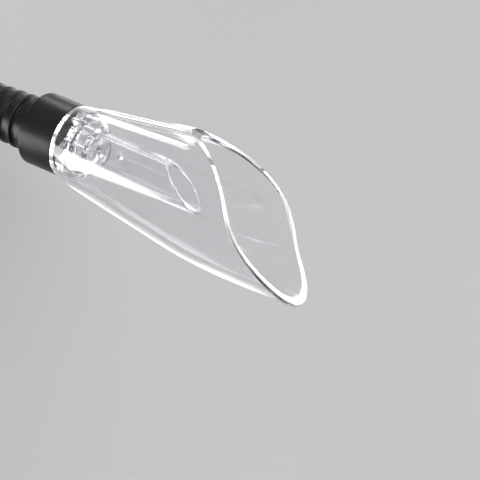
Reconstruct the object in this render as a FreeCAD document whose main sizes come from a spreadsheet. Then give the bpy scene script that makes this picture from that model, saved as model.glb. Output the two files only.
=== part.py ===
import FreeCAD, Part
import math
import os
import Sketcher

# Aerating pourer: a clear leaf-mouthed shell round a clear inner nozzle, on a ribbed rubber stopper.
# The pourer's axis is Z, with the spout up and the beak towards +X.
# The origin is on the axis, in the seat plane: the flat underside of the collar.

document = FreeCAD.newDocument("AeratorPourer")

FULL_TURN = 360
LEVEL = 1e-6

# Driving sizes, in millimetres, and in degrees where the name ends in angle.
SIZES = [
    ("collar_radius", 12.5, "outside of the collar, and of the shell where they meet"),
    ("collar_height", 14.0, "from the seat plane to the foot of the shell"),
    ("collar_edge", 0.7, "bevel on the collar's lower edge"),
    ("joint_edge", 0.3, "bevel on the collar's upper edge, which draws the joint line"),
    ("land_radius", 9.6, "plain band that seals first"),
    ("land_height", 4.0, "depth of that band under the collar"),
    ("plug_wall", 1.8, "rubber between the ribs, outside the core"),
    ("plug_depth", 25.0, "rubber below the collar"),
    ("plug_nose", 1.2, "lead-in at the stopper's lower end"),
    ("rib_count", 4, "sealing ribs under the plain band"),
    ("rib_start", 3.0, "from the plain band to the first rib's middle"),
    ("rib_root", 2.6, "thickness of a rib where it leaves the rubber"),
    ("rib_tip", 1.1, "thickness of a rib at its edge"),
    ("rib_taper", 0.9, "how much smaller the ribs are at the stopper's lower end"),
    ("fit_gap", 0.05, "radial clearance where one piece seats in another"),
    ("pour_radius", 3.0, "pouring channel through the core"),
    ("tube_radius", 2.0, "outside of the air tube"),
    ("tube_wall", 0.75, "wall of the air tube"),
    ("tube_seat", 10.0, "air tube inside the core"),
    ("tube_reach", 31.0, "air tube below the core"),
    ("channel_web", 0.7, "wall between the pouring channel and the air tube's seat"),
    ("barrel_wall", 1.0, "wall outside those channels, where the core passes through the rubber"),
    ("bead_step", 0.7, "how far the bead that keeps the rubber on the core stands out"),
    ("bead_height", 2.4, "height of that bead, below the rubber"),
    ("foot_wall", 2.75, "wall of the shell at its foot, outside the core's flange"),
    ("flange_height", 7.0, "height of the core's flange in the foot of the shell"),
    ("flange_chamfer", 0.6, "cone at the flange's upper edge"),
    ("root_step", 1.2, "how far the nozzle's root stands outside the nozzle"),
    ("root_height", 12.5, "top of the solid root above the collar"),
    ("bore_ledge", 0.2, "ledge in the nozzle's bore beside the pouring channel"),
    ("nozzle_wall", 1.7, "wall of the nozzle"),
    ("nozzle_draft_angle", 0.9, "taper of the nozzle, inside and out"),
    ("nozzle_height", 47.5, "centre of the nozzle's oblique mouth above the collar"),
    ("nozzle_mouth_angle", 52.0, "slope of that mouth"),
    ("nozzle_bevel", 0.4, "bevel on both edges of the nozzle's mouth"),
    ("air_radius", 1.2, "air channel through the core"),
    ("air_port_radius", 0.95, "air channel's way out to the chamber"),
    ("air_port_height", 9.9, "that way out above the collar"),
    ("aerating_radius", 0.8, "cross holes at the nozzle's foot"),
    ("aerating_height", 17.0, "those holes above the collar"),
    ("shell_wall", 2.7, "wall of the shell, square to its surface"),
    ("foot_angle", 13.5, "slope of the shell's outline at its foot"),
    ("flank_angle", 7.9, "slope of the shell's flank"),
    ("beak_angle", 0.9, "how much the outline draws in towards the beak"),
    ("foot_height", 9.0, "where the foot's line would meet the flank's line"),
    ("belly_height", 62.0, "where the flank's line would meet the beak's line"),
    ("foot_bend", 120.0, "radius of the bend from foot to flank"),
    ("belly_bend", 200.0, "radius of the bend from flank to beak"),
    ("notch_height", 45.0, "outer edge of the notch above the collar"),
    ("notch_angle", 74.5, "slope of the mouth at the notch"),
    ("leaf_height", 77.5, "mouth above the collar where it crosses the axis"),
    ("leaf_angle", 35.8, "slope of the mouth at the axis"),
    ("lip_reach", 7.5, "from the axis to where the lip's slope begins"),
    ("lip_angle", 53.0, "slope of the mouth at the beak"),
    ("notch_bend", 40.0, "radius of the mouth's bend on the notch's side"),
    ("lip_bend", 40.0, "radius of the mouth's bend on the beak's side"),
    ("rim_bevel", 0.6, "bevel on both edges of the mouth"),
]

# Places that follow from the driving sizes. Heights are from the seat plane.
PLACES = [
    ("tube_seat_radius", "Sizes.tube_radius + Sizes.fit_gap"),
    ("barrel_radius", "Sizes.pour_radius + tube_seat_radius + Sizes.channel_web / 2 + Sizes.barrel_wall"),
    ("pour_offset", "barrel_radius - Sizes.barrel_wall - Sizes.pour_radius"),
    ("air_offset", "barrel_radius - Sizes.barrel_wall - tube_seat_radius"),
    ("rubber_bore", "barrel_radius + Sizes.fit_gap"),
    ("plug_radius", "rubber_bore + Sizes.plug_wall"),
    ("core_foot", "-Sizes.plug_depth - Sizes.bead_height"),
    ("tube_foot", "core_foot - Sizes.tube_reach"),
    ("rib_base", "(rubber_bore + plug_radius) / 2"),
    ("first_rib", "-Sizes.land_height - Sizes.rib_start"),
    ("last_rib", "-Sizes.plug_depth + Sizes.plug_nose + Sizes.rib_root"),
    ("socket_radius", "Sizes.collar_radius - Sizes.foot_wall"),
    ("flange_radius", "socket_radius - Sizes.fit_gap"),
    ("flange_top", "Sizes.collar_height + Sizes.flange_height"),
    ("root_top", "Sizes.collar_height + Sizes.root_height"),
    ("bore_radius", "barrel_radius - Sizes.barrel_wall + Sizes.bore_ledge"),
    ("nozzle_radius", "bore_radius + Sizes.nozzle_wall"),
    ("root_radius", "nozzle_radius + Sizes.root_step"),
    ("nozzle_mid", "Sizes.collar_height + Sizes.nozzle_height"),
    ("nozzle_top", "nozzle_mid + root_radius * tan(Sizes.nozzle_mouth_angle * 1 deg)"),
    ("nozzle_draw", "(nozzle_top - root_top) * tan(Sizes.nozzle_draft_angle * 1 deg)"),
    ("nozzle_low", "nozzle_mid - root_radius * tan(Sizes.nozzle_mouth_angle * 1 deg)"),
    ("air_port", "Sizes.collar_height + Sizes.air_port_height"),
    ("aerating_place", "Sizes.collar_height + Sizes.aerating_height"),
    ("foot_corner", "Sizes.collar_height + Sizes.foot_height"),
    ("foot_corner_radius", "Sizes.collar_radius + Sizes.foot_height * tan(Sizes.foot_angle * 1 deg)"),
    ("belly_corner", "Sizes.collar_height + Sizes.belly_height"),
    ("flank_rise", "tan(Sizes.flank_angle * 1 deg)"),
    ("belly_radius", "foot_corner_radius + (Sizes.belly_height - Sizes.foot_height) * flank_rise"),
    ("belly_mean", "(Sizes.flank_angle - Sizes.beak_angle) / 2 * 1 deg"),
    ("belly_turn", "(Sizes.flank_angle + Sizes.beak_angle) / 2 * 1 deg"),
    ("leaf_rise", "tan(Sizes.leaf_angle * 1 deg)"),
    ("notch_rise", "tan(Sizes.notch_angle * 1 deg)"),
    ("lip_rise", "tan(Sizes.lip_angle * 1 deg)"),
    ("notch_radius", "foot_corner_radius + (Sizes.notch_height - Sizes.foot_height) * flank_rise"),
    ("leaf_start", "(Sizes.leaf_height - Sizes.notch_height - notch_radius * notch_rise)"
                   " / (notch_rise - leaf_rise)"),
    ("leaf_place", "Sizes.collar_height + Sizes.leaf_height"),
    ("lip_start", "leaf_place + Sizes.lip_reach * leaf_rise"),
    ("mouth_edge", "belly_radius + Sizes.shell_wall"),
    ("mouth_top", "lip_start + (mouth_edge - Sizes.lip_reach) * lip_rise"),
    ("shell_draw", "(mouth_top - belly_corner) * tan(Sizes.beak_angle * 1 deg)"),
]


def make_sheets():
    """Fills one sheet with the driving sizes and one with the places worked out from them."""
    sizes = document.addObject("Spreadsheet::Sheet", "Sizes")
    for row, (name, size, note) in enumerate(SIZES, start=1):
        sizes.set(f"A{row}", name)
        sizes.set(f"B{row}", str(size))
        sizes.set(f"C{row}", note)
        sizes.setAlias(f"B{row}", name)
    document.recompute()
    places = document.addObject("Spreadsheet::Sheet", "Places")
    for row, (name, formula) in enumerate(PLACES, start=1):
        places.set(f"A{row}", name)
        places.set(f"B{row}", "=" + formula)
        places.setAlias(f"B{row}", name)
        document.recompute()
    return sizes


sizes = make_sheets()


def worth(formula):
    """The number that a formula of the sheets' names gives now."""
    value = sizes.evalExpression(formula)
    return float(getattr(value, "Value", value))


def new_body(label):
    """An empty body, whose label is the piece's name."""
    body = document.addObject("PartDesign::Body", label)
    body.Label = label
    return body


def new_sketch(body, name, role, depth=None):
    """A sketch on one of the body's own origin planes, moved along that plane's normal by depth."""
    sketch = body.newObject("Sketcher::SketchObject", name)
    plane = [feature for feature in body.Origin.OriginFeatures if feature.Role == role][0]
    sketch.AttachmentSupport = [(plane, "")]
    sketch.MapMode = "FlatFace"
    if depth:
        sketch.setExpression(".AttachmentOffset.Base.z", depth)
    document.recompute()
    return sketch


def bind(sketch, kind, places, name, formula):
    """Adds one dimension to a sketch and binds it to a formula."""
    index = sketch.addConstraint(Sketcher.Constraint(kind, *places, worth(formula)))
    sketch.renameConstraint(index, name)
    sketch.setExpression("Constraints." + name, formula)


def draw_circle(sketch, across, up, radius):
    """A circle whose centre and radius are bound to formulas."""
    centre = FreeCAD.Vector(worth(across), worth(up), 0)
    number = len(sketch.Geometry)
    circle = Part.Circle(centre, FreeCAD.Vector(0, 0, 1), worth(radius))
    index = sketch.addGeometry(circle, False)
    bind(sketch, "DistanceX", (index, 3), f"across{number}", across)
    bind(sketch, "DistanceY", (index, 3), f"up{number}", up)
    bind(sketch, "Radius", (index,), f"radius{number}", radius)


def draw_outline(sketch, corners):
    """A closed outline through corners given as (across, up) or (across, up, bend radius), all formulas.

    A bend is an arc tangent to both lines, and the corner itself stays as a dimensioned construction point.
    """
    count = len(corners)
    points = [FreeCAD.Vector(worth(corner[0]), worth(corner[1]), 0) for corner in corners]
    arrivals, departures, bends = [], [], []
    for number, corner in enumerate(corners):
        here = points[number]
        to_here = (here - points[number - 1]).normalize()
        from_here = (points[(number + 1) % count] - here).normalize()
        radius = worth(corner[2]) if len(corner) > 2 else 0
        reach = radius * math.tan(to_here.getAngle(from_here) / 2)
        arrivals.append(here - to_here * reach)
        departures.append(here + from_here * reach)
        left_turn = to_here.cross(from_here).z > 0
        side = FreeCAD.Vector(-to_here.y, to_here.x, 0) * (1 if left_turn else -1)
        bends.append((arrivals[-1] + side * radius, left_turn))
    lines = []
    for number in range(count):
        line = Part.LineSegment(departures[number - 1], arrivals[number])
        lines.append(sketch.addGeometry(line, False))
    for number, corner in enumerate(corners):
        arriving, leaving = lines[number], lines[(number + 1) % count]
        if len(corner) == 2:
            sketch.addConstraint(Sketcher.Constraint("Coincident", arriving, 2, leaving, 1))
            fixed = (arriving, 2)
        else:
            centre, left_turn = bends[number]
            ends = (arrivals[number], departures[number])
            angles = [math.atan2(end.y - centre.y, end.x - centre.x) for end in ends]
            first, last = angles if left_turn else angles[::-1]
            circle = Part.Circle(centre, FreeCAD.Vector(0, 0, 1), worth(corner[2]))
            arc = sketch.addGeometry(Part.ArcOfCircle(circle, first, last), False)
            near, far = (1, 2) if left_turn else (2, 1)
            sketch.addConstraint(Sketcher.Constraint("Tangent", arriving, 2, arc, near))
            sketch.addConstraint(Sketcher.Constraint("Tangent", leaving, 1, arc, far))
            bind(sketch, "Radius", (arc,), f"bend{number}", corner[2])
            mark = sketch.addGeometry(Part.Point(points[number]), True)
            sketch.addConstraint(Sketcher.Constraint("PointOnObject", mark, 1, arriving))
            sketch.addConstraint(Sketcher.Constraint("PointOnObject", mark, 1, leaving))
            fixed = (mark, 1)
        bind(sketch, "DistanceX", fixed, f"across{number}", corner[0])
        bind(sketch, "DistanceY", fixed, f"up{number}", corner[1])


def turn(body, name, kind, corners):
    """Turns an outline a full circle about the pourer's axis, adding to the body or cutting it."""
    sketch = new_sketch(body, name + "_outline", "XZ_Plane")
    draw_outline(sketch, corners)
    feature = body.newObject(kind, name)
    feature.Profile = sketch
    feature.ReferenceAxis = (sketch, ["V_Axis"])
    feature.Angle = FULL_TURN
    sketch.Visibility = False
    document.recompute()
    return feature


def cut_across(body, name, sketch):
    """Cuts a sketch of the plane of symmetry right through, both ways."""
    pocket = body.newObject("PartDesign::Pocket", name)
    pocket.Profile = sketch
    pocket.SideType = "Symmetric"
    pocket.Type = "ThroughAll"
    document.recompute()
    return pocket


def drill(body, name, role, circle, start, length, backwards=False):
    """Drills a round hole from a plane at start, for a length, along that plane's normal or against it."""
    sketch = new_sketch(body, name + "_outline", role, start)
    draw_circle(sketch, *circle)
    pocket = body.newObject("PartDesign::Pocket", name)
    pocket.Profile = sketch
    pocket.setExpression("Length", length)
    pocket.Reversed = not backwards
    document.recompute()
    return pocket


def is_mouth_face(face):
    """Whether a face belongs to a cut made square to the plane of symmetry, at a slope."""
    surface = face.Surface
    if isinstance(surface, Part.Plane):
        return abs(surface.Axis.y) < LEVEL < abs(surface.Axis.x)
    return isinstance(surface, Part.Cylinder) and abs(surface.Axis.y) > 1 - LEVEL


def bevel_mouth(body, name, size):
    """Bevels the edges where a mouth's cut faces meet the turned walls."""
    mouth = body.Tip
    shape = mouth.Shape
    chosen = []
    for number, edge in enumerate(shape.Edges, start=1):
        sides = [is_mouth_face(face) for face in shape.ancestorsOfType(edge, Part.Face)]
        if sides.count(True) == 1:
            chosen.append(f"Edge{number}")
    bevel = body.newObject("PartDesign::Chamfer", name)
    bevel.Base = (mouth, chosen)
    bevel.setExpression("Size", size)
    document.recompute()
    return bevel


def make_rubber_stopper():
    """Black rubber: a tall collar, and below its seat plane a plain band and tapering ribs."""
    body = new_body("rubber_stopper")
    turn(body, "stopper_blank", "PartDesign::Revolution", [
        ("Places.rubber_bore", "Sizes.collar_height"),
        ("Places.rubber_bore", "-Sizes.plug_depth"),
        ("Places.plug_radius - Sizes.plug_nose", "-Sizes.plug_depth"),
        ("Places.plug_radius", "-Sizes.plug_depth + Sizes.plug_nose"),
        ("Places.plug_radius", "-Sizes.land_height"),
        ("Sizes.land_radius", "-Sizes.land_height"),
        ("Sizes.land_radius", "0"),
        ("Sizes.collar_radius - Sizes.collar_edge", "0"),
        ("Sizes.collar_radius", "Sizes.collar_edge"),
        ("Sizes.collar_radius", "Sizes.collar_height - Sizes.joint_edge"),
        ("Sizes.collar_radius - Sizes.joint_edge", "Sizes.collar_height"),
    ])
    rib = turn(body, "rib", "PartDesign::Revolution", [
        ("Places.rib_base", "Places.first_rib - Sizes.rib_root / 2"),
        ("Sizes.land_radius", "Places.first_rib - Sizes.rib_tip / 2"),
        ("Sizes.land_radius", "Places.first_rib + Sizes.rib_tip / 2"),
        ("Places.rib_base", "Places.first_rib + Sizes.rib_root / 2"),
    ])
    ribs = body.newObject("PartDesign::LinearPattern", "ribs")
    ribs.Originals = [rib]
    ribs.Direction = (rib.Profile[0], ["V_Axis"])
    ribs.Reversed = True
    ribs.setExpression("Length", "Places.first_rib - Places.last_rib")
    ribs.setExpression("Occurrences", "Sizes.rib_count")
    body.Tip = ribs
    document.recompute()
    turn(body, "rib_envelope", "PartDesign::Groove", [
        ("Sizes.land_radius", "-Sizes.land_height"),
        ("Sizes.land_radius - Sizes.rib_taper", "-Sizes.plug_depth"),
        ("Sizes.collar_radius", "-Sizes.plug_depth"),
        ("Sizes.collar_radius", "-Sizes.land_height"),
    ])
    return body


def make_nozzle_core():
    """Clear core: bead, barrel through the rubber, flange in the shell's foot, and the inner nozzle."""
    body = new_body("nozzle_core")
    turn(body, "core_blank", "PartDesign::Revolution", [
        ("0", "Places.core_foot"),
        ("Places.barrel_radius", "Places.core_foot"),
        ("Places.barrel_radius + Sizes.bead_step", "Places.core_foot + Sizes.bead_step"),
        ("Places.barrel_radius + Sizes.bead_step", "-Sizes.plug_depth"),
        ("Places.barrel_radius", "-Sizes.plug_depth"),
        ("Places.barrel_radius", "Sizes.collar_height"),
        ("Places.flange_radius", "Sizes.collar_height"),
        ("Places.flange_radius", "Places.flange_top - Sizes.flange_chamfer"),
        ("Places.flange_radius - Sizes.flange_chamfer", "Places.flange_top"),
        ("Places.root_radius", "Places.flange_top"),
        ("Places.root_radius", "Places.root_top - Sizes.root_step"),
        ("Places.nozzle_radius", "Places.root_top"),
        ("Places.nozzle_radius - Places.nozzle_draw", "Places.nozzle_top"),
        ("0", "Places.nozzle_top"),
    ])
    turn(body, "nozzle_bore", "PartDesign::Groove", [
        ("0", "Places.root_top"),
        ("Places.bore_radius", "Places.root_top"),
        ("Places.bore_radius - Places.nozzle_draw", "Places.nozzle_top"),
        ("0", "Places.nozzle_top"),
    ])
    mouth = new_sketch(body, "nozzle_mouth_outline", "XZ_Plane")
    draw_outline(mouth, [
        ("-Places.root_radius", "Places.nozzle_low"),
        ("Places.root_radius", "Places.nozzle_top"),
        ("Places.root_radius", "Places.nozzle_top + Sizes.root_step"),
        ("-Places.root_radius", "Places.nozzle_top + Sizes.root_step"),
    ])
    cut_across(body, "nozzle_mouth", mouth)
    bevel_mouth(body, "nozzle_mouth_bevel", "Sizes.nozzle_bevel")
    drill(body, "pour_channel", "XY_Plane",
          ("Places.pour_offset", "0", "Sizes.pour_radius"),
          "Places.core_foot", "Places.root_top - Places.core_foot")
    drill(body, "tube_socket", "XY_Plane",
          ("-Places.air_offset", "0", "Places.tube_seat_radius"),
          "Places.core_foot", "Sizes.tube_seat")
    drill(body, "air_channel", "XY_Plane",
          ("-Places.air_offset", "0", "Sizes.air_radius"),
          "Places.core_foot", "Places.air_port + Sizes.air_radius - Places.core_foot")
    drill(body, "air_port", "YZ_Plane",
          ("0", "Places.air_port", "Sizes.air_port_radius"),
          "-Places.air_offset", "Places.root_radius", True)
    holes = new_sketch(body, "aerating_outline", "XZ_Plane")
    draw_circle(holes, "0", "Places.aerating_place", "Sizes.aerating_radius")
    cut_across(body, "aerating_holes", holes)
    return body


def make_air_tube():
    """Thin tube that leads air in below the core, pressed into its foot."""
    body = new_body("air_tube")
    sketch = new_sketch(body, "tube_outline", "XY_Plane", "Places.tube_foot")
    draw_circle(sketch, "-Places.air_offset", "0", "Sizes.tube_radius")
    draw_circle(sketch, "-Places.air_offset", "0", "Sizes.tube_radius - Sizes.tube_wall")
    tube = body.newObject("PartDesign::Pad", "tube")
    tube.Profile = sketch
    tube.setExpression("Length", "Sizes.tube_seat + Sizes.tube_reach")
    document.recompute()
    return body


def make_spout_shell():
    """Clear shell: a turned tulip wall, cut across by the S-shaped outline of its leaf-shaped mouth."""
    body = new_body("spout_shell")
    wall = "Sizes.shell_wall"
    turn(body, "shell_blank", "PartDesign::Revolution", [
        ("Places.socket_radius", "Sizes.collar_height"),
        ("Sizes.collar_radius", "Sizes.collar_height"),
        ("Places.foot_corner_radius", "Places.foot_corner", "Sizes.foot_bend"),
        ("Places.belly_radius", "Places.belly_corner", "Sizes.belly_bend"),
        ("Places.belly_radius - Places.shell_draw", "Places.mouth_top"),
        (f"Places.belly_radius - Places.shell_draw - {wall} / cos(Sizes.beak_angle * 1 deg)",
         "Places.mouth_top"),
        (f"Places.belly_radius - {wall} * cos(Places.belly_mean) / cos(Places.belly_turn)",
         f"Places.belly_corner + {wall} * sin(Places.belly_mean) / cos(Places.belly_turn)",
         f"Sizes.belly_bend - {wall}"),
        (f"Places.foot_corner_radius + (Sizes.flange_height - Sizes.foot_height) * Places.flank_rise"
         f" - {wall} / cos(Sizes.flank_angle * 1 deg)", "Places.flange_top"),
        ("Places.socket_radius", "Places.flange_top"),
    ])
    mouth = new_sketch(body, "mouth_outline", "XZ_Plane")
    draw_outline(mouth, [
        ("-Places.mouth_edge",
         "Sizes.collar_height + Sizes.notch_height"
         " + (Places.notch_radius - Places.mouth_edge) * Places.notch_rise"),
        ("Places.leaf_start", "Places.leaf_place + Places.leaf_start * Places.leaf_rise",
         "Sizes.notch_bend"),
        ("Sizes.lip_reach", "Places.lip_start", "Sizes.lip_bend"),
        ("Places.mouth_edge", "Places.mouth_top"),
        ("Places.mouth_edge", "Places.mouth_top + Sizes.shell_wall"),
        ("-Places.mouth_edge", "Places.mouth_top + Sizes.shell_wall"),
    ])
    cut_across(body, "mouth", mouth)
    bevel_mouth(body, "mouth_bevel", "Sizes.rim_bevel")
    return body


def check(bodies):
    """Stops before anything is written if an object failed or a piece isn't one sound solid."""
    document.recompute()
    for item in document.Objects:
        if "Invalid" in item.State or "Error" in item.State:
            raise RuntimeError(f"{item.Label} failed: {item.State}")
    for body in bodies:
        if body.Shape.isNull() or not body.Shape.isValid() or len(body.Shape.Solids) != 1:
            raise RuntimeError(f"{body.Label} isn't one sound solid")
        steps = [item for item in body.Group if item.isDerivedFrom("PartDesign::Feature")]
        for before, after in zip(steps, steps[1:]):
            cuts = after.TypeId in ("PartDesign::Pocket", "PartDesign::Groove")
            if cuts and after.Shape.Volume >= before.Shape.Volume:
                raise RuntimeError(f"{after.Label} cuts nothing")


def write(bodies):
    """Writes each piece to a file that its label names."""
    os.makedirs("parts", exist_ok=True)
    for body in bodies:
        body.Shape.exportStep(f"parts/{body.Label}.step")
        box = body.Shape.BoundBox
        print(f"{body.Label}: {len(body.Shape.Solids)} solid, {body.Shape.Volume:.0f} mm3,"
              f" z {box.ZMin:.1f} to {box.ZMax:.1f}")


pieces = [make_rubber_stopper(), make_nozzle_core(), make_air_tube(), make_spout_shell()]
check(pieces)
write(pieces)
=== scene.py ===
import math

import bmesh
import bpy
import numpy as np
from mathutils import Matrix, Vector


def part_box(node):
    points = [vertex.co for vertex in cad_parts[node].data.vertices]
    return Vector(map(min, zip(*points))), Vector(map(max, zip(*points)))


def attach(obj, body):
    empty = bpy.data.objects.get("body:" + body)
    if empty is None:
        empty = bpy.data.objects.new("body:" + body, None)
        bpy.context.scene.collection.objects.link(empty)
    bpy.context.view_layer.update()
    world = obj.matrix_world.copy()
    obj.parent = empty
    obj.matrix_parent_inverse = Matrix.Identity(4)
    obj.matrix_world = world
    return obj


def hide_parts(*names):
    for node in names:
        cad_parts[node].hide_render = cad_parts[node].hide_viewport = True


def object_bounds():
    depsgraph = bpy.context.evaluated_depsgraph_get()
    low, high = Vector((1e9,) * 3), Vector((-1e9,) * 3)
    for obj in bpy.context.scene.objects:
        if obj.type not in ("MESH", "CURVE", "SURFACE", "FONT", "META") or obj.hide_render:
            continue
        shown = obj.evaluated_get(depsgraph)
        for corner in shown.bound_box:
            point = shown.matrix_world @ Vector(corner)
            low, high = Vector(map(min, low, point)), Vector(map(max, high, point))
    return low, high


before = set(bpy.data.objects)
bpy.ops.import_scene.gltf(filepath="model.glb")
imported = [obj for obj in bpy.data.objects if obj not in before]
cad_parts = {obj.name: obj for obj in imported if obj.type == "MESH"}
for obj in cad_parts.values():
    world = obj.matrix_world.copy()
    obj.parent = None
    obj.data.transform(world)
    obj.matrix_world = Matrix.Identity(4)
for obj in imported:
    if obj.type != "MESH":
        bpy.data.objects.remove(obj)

# Aerating pourer: a clear leaf-mouthed shell, a clear inner nozzle, a black rubber stopper and an air tube.
# Sizes in the pieces' dictionaries are millimetres and degrees, and the meshes are made in metres.

mm = 0.001
cadBox = [list(corner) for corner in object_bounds()]

# Heights of the pieces' ends in the frame.
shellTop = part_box("spout_shell")[1][2] / mm
coreFoot, coreTop = (corner[2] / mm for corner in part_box("nozzle_core"))
tubeFoot, tubeTop = (corner[2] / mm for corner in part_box("air_tube"))


# How far a line rises for each unit that it goes across = the tangent of its angle.
def slope(degrees):
    return math.tan(math.radians(degrees))


# Straight runs through corners (across, up, bend), where each bend is an arc tangent to both of its runs.
# An arc's point = its centre + bend * the unit vector square to the heading, and the heading turns evenly.
# Returns the points, with fineness of them on each bend, and the unit heading at each.
def bentLine(corners, fineness=8):
    places = np.array([corner[:2] for corner in corners], float)
    steps = np.diff(places, axis=0)
    ways = steps / np.linalg.norm(steps, axis=1)[:, None]
    points, headings = [places[:1]], [ways[:1]]
    for place, corner, arriving, leaving in zip(places[1:-1], corners[1:-1], ways[:-1], ways[1:]):
        turn = math.atan2(arriving[0] * leaving[1] - arriving[1] * leaving[0], arriving @ leaving)
        bend = math.copysign(corner[2], turn)
        start = place - arriving * abs(bend) * math.tan(abs(turn) / 2)
        centre = start + bend * np.array([-arriving[1], arriving[0]])
        angles = math.atan2(arriving[1], arriving[0]) + turn * np.linspace(0, 1, fineness)
        heading = np.stack([np.cos(angles), np.sin(angles)], 1)
        points.append(centre + bend * np.stack([heading[:, 1], -heading[:, 0]], 1))
        headings.append(heading)
    points.append(places[-1:])
    headings.append(ways[-1:])
    return np.concatenate(points), np.concatenate(headings)


# Rows along a profile: its own points, and on each long run two more that lie hold from its ends and some
# between, at most about longest apart, so that a run's shading stays its own.
# A row = start + share * (end - start).
def runRows(points, hold=0.12, longest=3.0):
    rows = [points[:1]]
    for start, end in zip(points[:-1], points[1:]):
        length = np.linalg.norm(end - start)
        if length > 4 * hold:
            inner = np.linspace(hold / length, 1 - hold / length, max(2, int(length / longest) + 2))
            rows.append(start + inner[:, None] * (end - start))
        rows.append(end[None])
    return np.concatenate(rows)


# A profile (radius, height) turned round the axis: x = radius * cos(angle), y = radius * sin(angle).
# angle goes once round over the columns, so the grid is rows by columns by 3.
def turned(profile, columns):
    angles = np.linspace(0, 2 * math.pi, columns, endpoint=False)
    across, up = profile[:, :1], profile[:, 1:]
    return np.stack([across * np.cos(angles), across * np.sin(angles), up + 0 * angles], 2)


# A new object that holds some data, put in the scene.
def addObject(name, data):
    added = bpy.data.objects.new(name, data)
    bpy.context.scene.collection.objects.link(added)
    return added


# A grid of rows by columns made into a mesh. The columns join up, and the rows do too where loop is true.
# Otherwise the first and last rows are poles on the axis, whose points are merged into one.
def gridMesh(name, grid, loop=True, mergeGap=1e-7, flatGap=1e-8):
    rows, columns = grid.shape[:2]
    number = np.arange(rows * columns).reshape(rows, columns)
    lower = number if loop else number[:-1]
    upper = np.roll(number, -1, 0) if loop else number[1:]
    faces = np.stack([lower, np.roll(lower, -1, 1), np.roll(upper, -1, 1), upper], 2).reshape(-1, 4)
    mesh = bpy.data.meshes.new(name)
    mesh.from_pydata((grid.reshape(-1, 3) * mm).tolist(), [], faces.tolist())
    work = bmesh.new()
    work.from_mesh(mesh)
    bmesh.ops.remove_doubles(work, verts=work.verts, dist=mergeGap)
    bmesh.ops.dissolve_degenerate(work, edges=work.edges, dist=flatGap)
    work.to_mesh(mesh)
    work.free()
    mesh.polygons.foreach_set("use_smooth", np.ones(len(mesh.polygons), bool))
    return addObject(name, mesh)


# The height where a wall meets the mouth at each angle, found by halving: the height is right where
# height = mouth(radius(height) * cos(angle)).
def meetingHeight(wall, mouth, angles, low, high, halvings=40):
    below = np.full(angles.shape, low)
    above = np.full(angles.shape, high)
    for _ in range(halvings):
        middle = (below + above) / 2
        radius = np.interp(middle, wall[:, 1], wall[:, 0])
        over = middle > np.interp(radius * np.cos(angles), mouth[:, 0], mouth[:, 1])
        above = np.where(over, middle, above)
        below = np.where(over, below, middle)
    return (below + above) / 2


# The round between a wall and the mouth, as a ball rolled along their edge. The ball's centre lies where
# both, moved into the material by the ball's radius, meet. A point = centre + radius * direction, and the
# direction turns evenly from the wall's normal to the mouth's. side is 1 for an outer wall, -1 for an inner.
def rolledRound(wallLine, mouthLine, side, radius, angles, fineness):
    wall, wallWay = wallLine
    mouth, mouthWay = mouthLine
    wallNormal = side * np.stack([wallWay[:, 1], -wallWay[:, 0]], 1)
    mouthNormal = np.stack([-mouthWay[:, 1], mouthWay[:, 0]], 1)
    wallIn, mouthIn = wall - radius * wallNormal, mouth - radius * mouthNormal
    height = meetingHeight(wallIn, mouthIn, angles, wall[0, 1] + radius, wall[-1, 1] - radius)
    across = np.interp(height, wallIn[:, 1], wallIn[:, 0])
    centre = np.stack([across * np.cos(angles), across * np.sin(angles), height], 1)
    out, rise = (np.interp(height, wallIn[:, 1], wallNormal[:, part]) for part in (0, 1))
    start = np.stack([out * np.cos(angles), out * np.sin(angles), rise], 1)
    lean, lift = (np.interp(centre[:, 0], mouthIn[:, 0], mouthNormal[:, part]) for part in (0, 1))
    end = np.stack([lean, 0 * lean, lift], 1)
    start, end = (way / np.linalg.norm(way, axis=1)[:, None] for way in (start, end))
    opening = np.arccos(np.clip((start * end).sum(1), -1, 1))[None, :, None]
    share = np.linspace(0, 1, fineness)[:, None, None]
    direction = (np.sin((1 - share) * opening) * start + np.sin(share * opening) * end) / np.sin(opening)
    return centre + radius * direction


# Rows of a turned wall from a level edge up to the round at its mouth.
# A point's height = low + share * (top - low), and its radius is the profile's there.
def wallRows(wall, low, top, angles, shares):
    height = low + shares[:, None] * (top - low)
    across = np.interp(height, wall[:, 1], wall[:, 0])
    return np.stack([across * np.cos(angles), across * np.sin(angles), height], 2)


# Rows across the mouth between its two rounds.
# A point = outer end + share * (inner end - outer end), with the mouth's own height there.
def mouthRows(outerEnd, innerEnd, mouth, shares):
    rows = outerEnd + shares[:, None, None] * (innerEnd - outerEnd)
    rows[:, :, 2] = np.interp(rows[:, :, 0], mouth[:, 0], mouth[:, 1])
    return rows


# How far inside a wall's ends its first and last rows lie, and where the rows across a mouth lie, as shares.
endShare = 0.002
mouthShares = np.array([0.04, 0.35, 0.65, 0.96])


# A whole turned wall with a slanted mouth, in loop order: up outside from outerLow, over the mouth, and down
# inside to innerLow.
def mouthedWall(outerLine, innerLine, mouthLine, outerLow, innerLow, sizes):
    angles = np.linspace(0, 2 * math.pi, sizes["columns"], endpoint=False)
    shares = np.linspace(endShare, 1 - endShare, sizes["rows"])
    outerRound, innerRound = (rolledRound(line, mouthLine, side, sizes["rim"], angles, sizes["rimRows"])
                              for line, side in ((outerLine, 1), (innerLine, -1)))
    innerRound = innerRound[::-1]
    outside = wallRows(outerLine[0], outerLow, outerRound[0, :, 2], angles, shares)
    inside = wallRows(innerLine[0], innerLow, innerRound[-1, :, 2], angles, shares)[::-1]
    across = mouthRows(outerRound[-1], innerRound[0], mouthLine[0], mouthShares)
    return np.concatenate([outside, outerRound, across, innerRound, inside])


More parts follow.
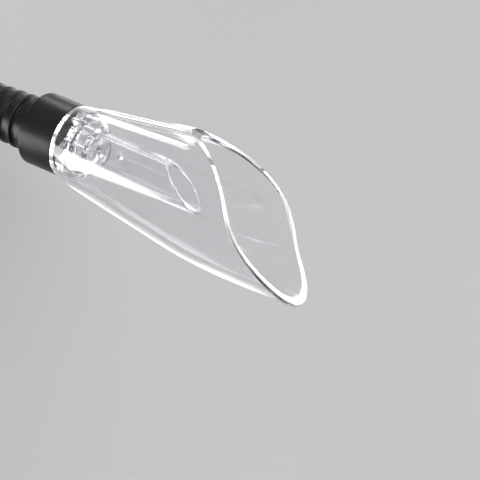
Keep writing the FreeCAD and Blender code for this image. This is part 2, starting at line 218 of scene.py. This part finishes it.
# Clear shell: a turned tulip wall whose mouth is cut across by a bent line, with rolled rounds on both edges.
# The notch lies 0.6 under its nominal height, where the frame's bevelled edge ends. over is how far the walls
# run on above the part before the mouth cuts them.
shell = dict(
    foot=14.0, footRadius=12.497, socketRadius=9.75, ledge=21.0,
    footAngle=13.5, flankAngle=7.9, beakAngle=0.9,
    footCorner=23.0, bellyCorner=76.0, footBend=120.0, bellyBend=200.0, wall=2.7,
    notchHeight=58.4, notchAngle=74.5, leafHeight=91.5, leafAngle=35.8, lipReach=7.5, lipAngle=53.0,
    notchBend=40.0, lipBend=40.0, rim=0.5, seam=0.03, edge=0.25, ledgeEdge=0.225, over=6.0,
    columns=360, rows=52, rimRows=9, wallFineness=200, mouthFineness=400, edgeFineness=5,
)


# The outer profile goes up by the foot's and the belly's corners. The inner one runs a wall's thickness
# inside it, square to it, so its corner lies thickness / cos(half the turn) from the outer corner, on the
# line that halves it. The mouth's three runs, seen from the side, are height = height at x 0 + x * slope,
# and they meet at leafStart and lipReach. The foot's own rows leave out the two that the walls already have.
def makeShell():
    s = shell
    flank, beak = slope(s["flankAngle"]), slope(s["beakAngle"])
    cornerRadius = s["footRadius"] + (s["footCorner"] - s["foot"]) * slope(s["footAngle"])
    bellyRadius = cornerRadius + (s["bellyCorner"] - s["footCorner"]) * flank
    top = shellTop + s["over"]
    topRadius = bellyRadius - (top - s["bellyCorner"]) * beak
    outer = bentLine([(s["footRadius"], s["foot"]), (cornerRadius, s["footCorner"], s["footBend"]),
                      (bellyRadius, s["bellyCorner"], s["bellyBend"]), (topRadius, top)], s["wallFineness"])

    thick = s["wall"]
    lean = math.radians(s["flankAngle"] - s["beakAngle"]) / 2
    halfTurn = math.radians(s["flankAngle"] + s["beakAngle"]) / 2
    ledgeRadius = (cornerRadius + (s["ledge"] - s["footCorner"]) * flank
                   - thick / math.cos(math.radians(s["flankAngle"])))
    innerCorner = (bellyRadius - thick * math.cos(lean) / math.cos(halfTurn),
                   s["bellyCorner"] + thick * math.sin(lean) / math.cos(halfTurn), s["bellyBend"] - thick)
    innerTop = topRadius - thick / math.cos(math.radians(s["beakAngle"]))
    inner = bentLine([(ledgeRadius, s["ledge"]), innerCorner, (innerTop, top)], s["wallFineness"])

    notchRadius = cornerRadius + (s["notchHeight"] - s["footCorner"]) * flank
    reach = bellyRadius + thick
    leafRise, notchRise, lipRise = (slope(s[name]) for name in ("leafAngle", "notchAngle", "lipAngle"))
    leafStart = (s["leafHeight"] - s["notchHeight"] - notchRadius * notchRise) / (notchRise - leafRise)
    lipStart = s["leafHeight"] + s["lipReach"] * leafRise
    mouth = bentLine([(-reach, s["notchHeight"] + (notchRadius - reach) * notchRise),
                      (leafStart, s["leafHeight"] + leafStart * leafRise, s["notchBend"]),
                      (s["lipReach"], lipStart, s["lipBend"]),
                      (reach, lipStart + (reach - s["lipReach"]) * lipRise)], s["mouthFineness"])

    edge, bottom = s["edge"], s["foot"] + s["seam"]
    low = bottom + edge
    walls = mouthedWall(outer, inner, mouth, low, s["ledge"] + edge, s)
    footLine, _ = bentLine([(ledgeRadius + edge * flank, s["ledge"] + edge),
                            (ledgeRadius, s["ledge"], s["ledgeEdge"]), (s["socketRadius"], s["ledge"], edge),
                            (s["socketRadius"], bottom, edge), (s["footRadius"], bottom, edge),
                            (np.interp(low, outer[0][:, 1], outer[0][:, 0]), low)], s["edgeFineness"])
    base = turned(runRows(footLine[1:-1]), s["columns"])
    return gridMesh("spoutShell", np.concatenate([walls, base]))


spoutShell = makeShell()
print("shell made:", len(spoutShell.data.polygons), "faces")

# Clear core: bead, barrel through the rubber, flange in the shell's foot, solid root and the inner nozzle,
# whose oblique mouth has rolled rounds too. Channels and holes are drilled with bars that run on by spare.
core = dict(
    bead=7.1, barrel=6.4, beadTop=-25.0, seat=14.0, flange=9.7, flangeTop=21.0, chamfer=0.6,
    root=8.5, shoulder=25.3, floor=26.5, nozzle=7.3, bore=5.6, taper=0.9,
    mouthHeight=61.5, mouthAngle=52.0, rim=0.45, seam=0.02, edge=0.15, rootEdge=0.3, over=6.0,
    pourRadius=3.0, pourOffset=2.4, tubeRadius=2.05, tubeOffset=-3.35, socketDepth=10.0,
    airRadius=1.2, portRadius=0.95, portHeight=23.9, holeRadius=0.8, holeHeight=31.0, spare=2.0,
    columns=240, rows=30, rimRows=9, edgeFineness=5, channelColumns=64, holeColumns=48, sharp=40,
)


# A closed round bar from start to end, used to drill. Its points = start + along + radius * (cos, sin)
# on two directions square to it.
def drillBar(name, start, end, radius, columns):
    start, end = np.array(start, float), np.array(end, float)
    length = np.linalg.norm(end - start)
    profile = np.array([(0, 0), (radius, 0), (radius, length), (0, length)], float)
    turn = Vector((0, 0, 1)).rotation_difference(Vector(end - start)).to_matrix()
    return gridMesh(name, turned(profile, columns) @ np.array(turn).T + start, loop=False)


# Cuts bars out of a piece and keeps the result as its own mesh.
def drill(piece, bars):
    for bar in bars:
        cut = piece.modifiers.new(bar.name, "BOOLEAN")
        cut.operation = "DIFFERENCE"
        cut.solver = "EXACT"
        cut.object = bar
    bpy.context.view_layer.update()
    finished = bpy.data.meshes.new_from_object(piece.evaluated_get(bpy.context.evaluated_depsgraph_get()))
    piece.modifiers.clear()
    piece.data = finished
    for bar in bars:
        bpy.data.objects.remove(bar)


# The nozzle's walls draw in as they rise: radius = radius at the floor - (height - floor) * slope(taper).
# The mouth is height = mouthHeight + x * slope(mouthAngle).
def makeCore():
    c = core
    top = coreTop + c["over"]
    drawIn = (top - c["floor"]) * slope(c["taper"])
    outer, inner = (bentLine([(radius, c["floor"]), (radius - drawIn, top)])
                    for radius in (c["nozzle"], c["bore"]))
    mouthRise = c["root"] * slope(c["mouthAngle"])
    mouth = bentLine([(-c["root"], c["mouthHeight"] - mouthRise), (c["root"], c["mouthHeight"] + mouthRise)])
    low = c["floor"] + c["rootEdge"]
    walls = mouthedWall(outer, inner, mouth, low, low, c)
    outerLow, innerLow = (np.interp(low, line[0][:, 1], line[0][:, 0]) for line in (outer, inner))

    edge, rootEdge = c["edge"], c["rootEdge"]
    beadLow, beadTop = coreFoot + (c["bead"] - c["barrel"]), c["beadTop"] - c["seam"]
    seat = c["seat"] + c["seam"]
    body, _ = bentLine([(0, coreFoot), (c["barrel"], coreFoot, edge),
                        (c["bead"], beadLow, edge), (c["bead"], beadTop, edge),
                        (c["barrel"], beadTop, edge), (c["barrel"], seat, edge), (c["flange"], seat, edge),
                        (c["flange"], c["flangeTop"] - c["chamfer"], edge),
                        (c["flange"] - c["chamfer"], c["flangeTop"], edge),
                        (c["root"], c["flangeTop"], rootEdge), (c["root"], c["shoulder"], rootEdge),
                        (c["nozzle"], c["floor"], rootEdge), (outerLow, low)], c["edgeFineness"])
    bore, _ = bentLine([(innerLow, low), (c["bore"], c["floor"], edge), (0, c["floor"])], c["edgeFineness"])
    outside, inside = (turned(rows, c["columns"]) for rows in (runRows(body)[:-1], runRows(bore)[1:]))
    piece = gridMesh("nozzleCore", np.concatenate([outside, walls, inside]), loop=False)

    under, over, beside = coreFoot - c["spare"], c["floor"] + c["spare"], c["root"] + c["spare"]
    pourX, airX, portZ, holeZ = c["pourOffset"], c["tubeOffset"], c["portHeight"], c["holeHeight"]
    channels = [
        ("pourChannel", (pourX, 0, under), (pourX, 0, over), c["pourRadius"], c["channelColumns"]),
        ("tubeSocket", (airX, 0, under), (airX, 0, coreFoot + c["socketDepth"]), c["tubeRadius"],
         c["channelColumns"]),
        ("airChannel", (airX, 0, coreFoot), (airX, 0, portZ + c["airRadius"]), c["airRadius"],
         c["channelColumns"]),
        ("airPort", (airX, 0, portZ), (-beside, 0, portZ), c["portRadius"], c["holeColumns"]),
        ("crossHoles", (0, -beside, holeZ), (0, beside, holeZ), c["holeRadius"], c["holeColumns"]),
    ]
    drill(piece, [drillBar(*channel) for channel in channels])
    piece.data.set_sharp_from_angle(angle=math.radians(c["sharp"]))
    return piece


nozzleCore = makeCore()
print("core made:", len(nozzleCore.data.polygons), "faces")

# Black rubber stopper: collar, plain band, and four ribs that get a little smaller downwards.
stopper = dict(
    collar=12.5, height=14.0, lowerEdge=0.7, upperEdge=0.3, land=9.6, landDepth=4.0,
    plug=8.25, depth=25.0, nose=1.2, noseEdge=0.6, bore=6.45, ribCount=4, ribStart=7.0, ribEnd=21.2,
    ribRoot=2.6, ribTip=1.1, taper=0.9, soft=0.3, columns=240, edgeFineness=6,
)


# A rib's half thickness at a radius = ribTip / 2 + (land - radius) / rise, which makes it ribRoot thick
# midway between the bore and the plug. Its tip's radius = land - taper * its share of the way down.
def makeStopper():
    s = stopper
    soft, land, plug = s["soft"], s["land"], s["plug"]
    corners = [(s["bore"], 0), (s["bore"], s["height"], soft),
               (s["collar"], s["height"], s["upperEdge"]), (s["collar"], 0, s["lowerEdge"]),
               (land, 0, soft), (land, -s["landDepth"], soft), (plug, -s["landDepth"], soft)]
    rise = (land - (s["bore"] + plug) / 2) / ((s["ribRoot"] - s["ribTip"]) / 2)
    halfRoot = s["ribTip"] / 2 + (land - plug) / rise
    for number in range(s["ribCount"]):
        middle = -s["ribStart"] - number * (s["ribEnd"] - s["ribStart"]) / (s["ribCount"] - 1)
        tip = land - s["taper"] * (-middle - s["landDepth"]) / (s["depth"] - s["landDepth"])
        halfTip = s["ribTip"] / 2 + (land - tip) / rise
        corners += [(plug, middle + halfRoot, soft), (tip, middle + halfTip, soft),
                    (tip, middle - halfTip, soft), (plug, middle - halfRoot, soft)]
    corners += [(plug, -s["depth"] + s["nose"], s["noseEdge"]), (plug - s["nose"], -s["depth"], soft),
                (s["bore"], -s["depth"], soft), (s["bore"], 0)]
    profile = runRows(bentLine(corners, s["edgeFineness"])[0])[::-1]
    return gridMesh("rubberStopper", turned(profile[:-1], s["columns"]))


rubberStopper = makeStopper()
print("stopper made:", len(rubberStopper.data.polygons), "faces")

# Thin air tube with softened ends, pressed into the core's foot.
airTube = dict(radius=2.0, wall=0.75, offset=-3.35, soft=0.25, columns=72, edgeFineness=6)


# A turned ring of the wall's section, moved aside: x = radius * cos(angle) + offset.
def makeTube():
    t = airTube
    outside, inside, soft = t["radius"], t["radius"] - t["wall"], t["soft"]
    corners = [(inside, 0), (inside, tubeFoot, soft), (outside, tubeFoot, soft),
               (outside, tubeTop, soft), (inside, tubeTop, soft), (inside, 0)]
    profile = runRows(bentLine(corners, t["edgeFineness"])[0])
    return gridMesh("thinTube", turned(profile[:-1], t["columns"]) + np.array([t["offset"], 0, 0]))


thinTube = makeTube()
print("tube made:", len(thinTube.data.polygons), "faces")

pieces = [
    (spoutShell, "spout_shell", "clear_shell"),
    (nozzleCore, "nozzle_core", "clear_core"),
    (rubberStopper, "rubber_stopper", "black_rubber"),
    (thinTube, "air_tube", "clear_tube"),
]
for piece, node, slot in pieces:
    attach(piece, "root")
    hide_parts(node)


# Gives a socket its value or its link.
def plug(tree, socket, value):
    if isinstance(value, Wire):
        tree.links.new(value.socket, socket)
    else:
        socket.default_value = value


# A value on its way through a material. Arithmetic on it adds the Math nodes.
class Wire:
    def __init__(self, tree, socket):
        self.tree = tree
        self.socket = socket

    def maths(self, operation, first, second):
        node = self.tree.nodes.new("ShaderNodeMath")
        node.operation = operation
        plug(self.tree, node.inputs[0], first)
        plug(self.tree, node.inputs[1], second)
        return Wire(self.tree, node.outputs[0])

    def __add__(self, other):
        return self.maths("ADD", self, other)

    def __radd__(self, other):
        return self.maths("ADD", other, self)

    def __sub__(self, other):
        return self.maths("SUBTRACT", self, other)

    def __rsub__(self, other):
        return self.maths("SUBTRACT", other, self)

    def __mul__(self, other):
        return self.maths("MULTIPLY", self, other)

    def __rmul__(self, other):
        return self.maths("MULTIPLY", other, self)


# The nodes of a material, a lamp or the world. node() takes a type, its settings and its sockets' values.
# A ramp's setting is its two stops, each with its place and colour.
class Finish:
    def __init__(self, owner):
        owner.use_nodes = True
        self.tree = owner.node_tree
        self.tree.nodes.clear()

    def node(self, kind, settings=None, values=None, output=0):
        added = self.tree.nodes.new(kind)
        for name, value in (settings or {}).items():
            if name == "stops":
                for stop, (place, colour) in zip(added.color_ramp.elements, value):
                    stop.position = place
                    stop.color = colour
            else:
                setattr(added, name, value)
        for name, value in (values or {}).items():
            plug(self.tree, added.inputs[name], value)
        return Wire(self.tree, added.outputs[output]) if added.outputs else None


# A new material with its nodes and its Object coordinates.
def newMaterial(name):
    material = bpy.data.materials.new(name)
    look = Finish(material)
    return material, look, look.node("ShaderNodeTexCoord", output="Object")


def grey(level):
    return (level, level, level, 1)


# In the materials, noise scales are per metre and depths are metres. tones are the places of a ramp's stops.

# Clear moulded acrylic: nearly smooth, with the faint flow waves of moulding, a thin haze in patches and a
# slight lilac grey that deepens where the light goes a long way through it.
acrylic = dict(
    index=1.49, wave=90, waveDepth=0.00002, haze=260, hazeRange=(0.45, 0.75), smooth=0.004, hazy=0.02,
    shellColour=(0.955, 0.945, 0.965, 1), coreColour=(0.96, 0.955, 0.97, 1), pale=grey(0.985),
    tones=(0.3, 0.75), tint=(0.83, 0.818, 0.842, 1), density=30,
)


def makeAcrylic(name, base):
    a = acrylic
    material, look, place = newMaterial(name)
    flow = look.node("ShaderNodeTexNoise", {}, {"Vector": place, "Scale": a["wave"], "Detail": 1.0})
    patches = look.node("ShaderNodeTexNoise", {}, {"Vector": place, "Scale": a["haze"], "Detail": 4.0})
    clear, thick = a["hazeRange"]
    haze = look.node("ShaderNodeMapRange", {"clamp": True},
                     {"Value": patches, "From Min": clear, "From Max": thick,
                      "To Min": a["smooth"], "To Max": a["hazy"]})
    colour = look.node("ShaderNodeValToRGB", {"stops": zip(a["tones"], (base, a["pale"]))}, {"Fac": patches})
    bump = look.node("ShaderNodeBump", {}, {"Height": flow, "Distance": a["waveDepth"], "Strength": 1.0})
    surface = look.node("ShaderNodeBsdfPrincipled", {},
                        {"Base Color": colour, "Roughness": haze, "IOR": a["index"],
                         "Transmission Weight": 1.0, "Normal": bump})
    body = look.node("ShaderNodeVolumeAbsorption", {}, {"Color": a["tint"], "Density": a["density"]})
    look.node("ShaderNodeOutputMaterial", {}, {"Surface": surface, "Volume": body})
    return material


# Matte black rubber: fine moulded grain, broad soft sheen, and a little bloom and handling wear in patches.
rubber = dict(
    deep=(0.005, 0.005, 0.0055, 1), worn=(0.013, 0.013, 0.014, 1), tones=(0.35, 0.75),
    grain=2600, grainDepth=0.00002, grainRough=0.06, mottle=130, rough=(0.29, 0.40), shine=0.24,
)


# Roughness = low + mottle * (high - low) + (grain - 0.5) * grainRough.
def makeRubber():
    r = rubber
    material, look, place = newMaterial("blackRubber")
    grain = look.node("ShaderNodeTexNoise", {}, {"Vector": place, "Scale": r["grain"], "Detail": 3.0})
    mottle = look.node("ShaderNodeTexNoise", {}, {"Vector": place, "Scale": r["mottle"], "Detail": 6.0,
                                                  "Roughness": 0.65})
    colour = look.node("ShaderNodeValToRGB", {"stops": zip(r["tones"], (r["deep"], r["worn"]))},
                       {"Fac": mottle})
    low, high = r["rough"]
    rough = low + mottle * (high - low) + (grain - 0.5) * r["grainRough"]
    bump = look.node("ShaderNodeBump", {}, {"Height": grain, "Distance": r["grainDepth"], "Strength": 0.7})
    surface = look.node("ShaderNodeBsdfPrincipled", {},
                        {"Base Color": colour, "Roughness": rough, "Specular IOR Level": r["shine"],
                         "Normal": bump})
    look.node("ShaderNodeOutputMaterial", {}, {"Surface": surface})
    return material


# Air tube: extruded clear plastic with a light frost and faint lengthwise draw lines.
drawn = dict(
    index=1.5, lines=1400, stretch=(1.0, 1.0, 0.03), lineDepth=0.000003, dull=(0.90, 0.90, 0.92, 1),
    pale=grey(0.97), tones=(0.3, 0.7), frost=900, smooth=0.03, frosty=0.09,
)


# Roughness = smooth + frost * (frosty - smooth).
def makeDrawnPlastic():
    d = drawn
    material, look, place = newMaterial("drawnPlastic")
    stretched = look.node("ShaderNodeMapping", {}, {"Vector": place, "Scale": d["stretch"]})
    lines = look.node("ShaderNodeTexNoise", {}, {"Vector": stretched, "Scale": d["lines"], "Detail": 2.0})
    frost = look.node("ShaderNodeTexNoise", {}, {"Vector": place, "Scale": d["frost"], "Detail": 3.0})
    rough = d["smooth"] + frost * (d["frosty"] - d["smooth"])
    colour = look.node("ShaderNodeValToRGB", {"stops": zip(d["tones"], (d["dull"], d["pale"]))},
                       {"Fac": lines})
    bump = look.node("ShaderNodeBump", {}, {"Height": lines, "Distance": d["lineDepth"], "Strength": 1.0})
    surface = look.node("ShaderNodeBsdfPrincipled", {},
                        {"Base Color": colour, "Roughness": rough, "IOR": d["index"],
                         "Transmission Weight": 1.0, "Normal": bump})
    look.node("ShaderNodeOutputMaterial", {}, {"Surface": surface})
    return material


nozzleCore.data.materials.clear()
spoutShell.data.materials.append(makeAcrylic("clearShell", acrylic["shellColour"]))
nozzleCore.data.materials.append(makeAcrylic("clearCore", acrylic["coreColour"]))
rubberStopper.data.materials.append(makeRubber())
thinTube.data.materials.append(makeDrawnPlastic())
print("materials made")

# Plain pale floor under the tube's tip.
floor = dict(reach=4000.0, columns=64, colour=(0.57, 0.57, 0.575, 1), fleck=(0.60, 0.60, 0.605, 1),
             tones=(0.3, 0.7), cloud=3.0, rough=0.9)


# A level plate: x = reach * cos(angle), y = reach * sin(angle), at the frame's lowest height.
def makeFloor():
    f = floor
    reach = f["reach"] * mm
    angles = np.linspace(0, 2 * math.pi, f["columns"], endpoint=False)
    ring = np.stack([reach * np.cos(angles), reach * np.sin(angles), cadBox[0][2] + 0 * angles], 1)
    mesh = bpy.data.meshes.new("paleFloor")
    mesh.from_pydata(ring.tolist(), [], [list(range(len(angles)))])
    material, look, place = newMaterial("paleFloor")
    cloud = look.node("ShaderNodeTexNoise", {}, {"Vector": place, "Scale": f["cloud"], "Detail": 2.0})
    colour = look.node("ShaderNodeValToRGB", {"stops": zip(f["tones"], (f["colour"], f["fleck"]))},
                       {"Fac": cloud})
    surface = look.node("ShaderNodeBsdfPrincipled", {},
                        {"Base Color": colour, "Roughness": f["rough"], "Specular IOR Level": 0.0})
    look.node("ShaderNodeOutputMaterial", {}, {"Surface": surface})
    mesh.materials.append(material)
    addObject("paleFloor", mesh)


makeFloor()

# Camera at the photograph's angle: it looks at aim from a distance, turned by its three angles.
# azimuth 0 looks along +Y, elevation is above level, and roll lays the pourer's axis across the picture.
# near and far, between which it sees, are metres.
camera = dict(aim=(8.4, -1.4, 87.8), distance=959.6, azimuth=-9.2, elevation=30.2, roll=113.0,
              focalPixels=3000, framePixels=480, sensor=36.0, near=0.01, far=50)


def makeCamera():
    c = camera
    azimuth, elevation, roll = (math.radians(c[name]) for name in ("azimuth", "elevation", "roll"))
    back = Vector((math.sin(azimuth) * math.cos(elevation), -math.cos(azimuth) * math.cos(elevation),
                   math.sin(elevation)))
    level = Vector((math.cos(azimuth), math.sin(azimuth), 0))
    right = level * math.cos(roll) + back.cross(level) * math.sin(roll)
    turn = Matrix((right, back.cross(right), back)).transposed().to_4x4()
    data = bpy.data.cameras.new("photoCamera")
    data.sensor_width = c["sensor"]
    data.lens = c["sensor"] * c["focalPixels"] / c["framePixels"]
    data.clip_start = c["near"]
    data.clip_end = c["far"]
    view = addObject("photoCamera", data)
    view.matrix_world = Matrix.Translation(Vector(c["aim"]) * mm + back * c["distance"] * mm) @ turn
    bpy.context.scene.camera = view


makeCamera()
print("floor and camera made")


# A rectangular lamp: name, place and what it faces in metres, width, height, how bright its face is, and its
# turn in degrees. Its power = pi * brightness * area, which gives a face of that brightness.
def makeLamp(name, place, target, width, height, brightness, turn=0):
    data = bpy.data.lights.new(name, "AREA")
    data.shape = "RECTANGLE"
    data.size = width
    data.size_y = height
    data.energy = math.pi * brightness * width * height
    lamp = addObject(name, data)
    lamp.location = place
    facing = (Vector(target) - Vector(place)).to_track_quat("-Z", "Y")
    lamp.rotation_euler = (facing.to_matrix() @ Matrix.Rotation(math.radians(turn), 3, "Z")).to_euler()
    lamp.visible_camera = False
    return lamp


# Soft light from high up gives the level, and softboxes on three sides give only highlights.
daylight = dict(place=(-0.9, -0.7, 1.3), spread=50, power=2.8)
softboxes = [
    ("leftBox", (-0.9, -0.7, 1.1), (0, 0, 0.03), 0.9, 0.9, 6),
    ("rightBox", (1.0, -0.5, 0.8), (0, 0, 0.03), 0.7, 0.7, 5),
    ("backBox", (0.2, 1.2, 0.9), (0, 0, 0.03), 1.0, 0.5, 5),
]


def makeDaylight():
    data = bpy.data.lights.new("daylight", "SUN")
    data.energy = daylight["power"]
    data.angle = math.radians(daylight["spread"])
    lamp = addObject("daylight", data)
    lamp.rotation_euler = (-Vector(daylight["place"])).to_track_quat("-Z", "Y").to_euler()


# Strips of light flat on the floor, facing up, that draw the bright lines along the clear walls and the soft
# ones on the rubber: name, start and end of the middle line in millimetres, width, brightness, and how much
# narrower it is at its end. They lie stripRise over the floor.
stripRise = 0.5
stripBorder = 0.10
strips = [
    ("frontStrip", (50, -26), (61, -152), 74, 9, 0.66),
    ("leftStrip", (-86, 34), (-156, -10), 18, 10, 0),
    ("farLeftStrip", (-52, 76), (-88, 136), 18, 4, 0),
    ("nozzleStrip", (-140, 40), (-190, 78), 46, 5.5, 0),
    ("backStrip", (-90, 190), (165, 235), 80, 2.5, 0),
    ("footStrip", (52, 95), (100, 205), 22, 4, 0),
    ("notchStrip", (-125, 250), (-340, 700), 120, 3, 0),
]

# An upright panel that whitens the rims, in metres. Its heading is from +Y towards +X.
rimPanel = dict(heading=-28, distance=0.80, height=0.22, width=0.60, tall=0.54, brightness=8, border=0.06)

# Light that comes straight through a wall doesn't show a strip or the panel: only mirrored light does, and
# light that was mirrored inside a wall shows innerShare of it.
innerShare = 0.6


# Fades a lamp's face towards its edges. In shares of the lamp, the face's half width is
# half = 0.5 - 0.5 * narrowing * along, and it fades in over half squared - offset squared, where offset is
# the way from its middle line. What shows of it = 1 - through * (1 - innerShare * mirrored), where through
# and mirrored are 1 for light that has gone through a wall or been mirrored, and otherwise 0.
def softenLamp(lamp, border, narrowing=0):
    lamp.visible_diffuse = False
    look = Finish(lamp.data)
    face = look.node("ShaderNodeNewGeometry", output="Parametric")
    across, along = (look.node("ShaderNodeSeparateXYZ", {}, {"Vector": face}, output=axis) for axis in "XY")
    half = 0.5 - 0.5 * narrowing * along
    offset = across - 0.5
    sides = (half * half - offset * offset, border)
    ends = (along * (1 - along), border / 2)
    shares = [look.node("ShaderNodeMapRange", {"interpolation_type": "SMOOTHSTEP"},
                        {"Value": inward, "From Max": full}) for inward, full in (sides, ends)]
    depths = [look.node("ShaderNodeLightPath", output=f"{kind} Depth") for kind in ("Transmission", "Glossy")]
    through, mirrored = (look.node("ShaderNodeClamp", {}, {"Value": depth}) for depth in depths)
    shown = 1 - through * (1 - innerShare * mirrored)
    glow = look.node("ShaderNodeEmission", {}, {"Strength": shown * shares[0] * shares[1]})
    look.node("ShaderNodeOutputLight", {}, {"Surface": glow})


def makeStrips():
    level = cadBox[0][2] + stripRise * mm
    for name, start, end, width, brightness, narrowing in strips:
        start, end = np.array(start) * mm, np.array(end) * mm
        middle = (start + end) / 2
        length = np.linalg.norm(end - start)
        turn = math.degrees(math.atan2(end[0] - start[0], end[1] - start[1]))
        lamp = makeLamp(name, (*middle, level), (*middle, 1), width * mm, length, brightness, turn)
        softenLamp(lamp, stripBorder, narrowing)


def makePanel():
    p = rimPanel
    angle = math.radians(p["heading"])
    place = (p["distance"] * math.sin(angle), p["distance"] * math.cos(angle), p["height"])
    lamp = makeLamp("rimPanel", place, (0, 0, p["height"]), p["width"], p["tall"], p["brightness"])
    softenLamp(lamp, p["border"])


makeDaylight()
for box in softboxes:
    makeLamp(*box).visible_diffuse = False
makeStrips()
makePanel()

# The room: pale at the horizon, darker overhead, so that clear edges have something to draw themselves with.
# tones are the heights, from 0 at the horizon to 1 overhead, where the two colours hold.
room = dict(horizon=(0.58, 0.58, 0.585, 1), zenith=(0.26, 0.26, 0.265, 1), tones=(0.05, 0.55), strength=1.0)


def makeRoom():
    world = bpy.data.worlds.new("room")
    bpy.context.scene.world = world
    look = Finish(world)
    way = look.node("ShaderNodeTexCoord", output="Generated")
    rise = look.node("ShaderNodeSeparateXYZ", {}, {"Vector": way}, output="Z")
    colour = look.node("ShaderNodeValToRGB", {"stops": zip(room["tones"], (room["horizon"], room["zenith"]))},
                       {"Fac": rise})
    glow = look.node("ShaderNodeBackground", {}, {"Color": colour, "Strength": room["strength"]})
    look.node("ShaderNodeOutputWorld", {}, {"Surface": glow})


makeRoom()
bpy.context.scene.view_settings.view_transform = "Standard"

# Light that enters a clear wall by its edge runs along inside it and turns back many times on its way.
turns = 32
cycles = bpy.context.scene.cycles
cycles.max_bounces = cycles.glossy_bounces = cycles.transmission_bounces = turns
print("scene lit")

bpy.context.view_layer.update()
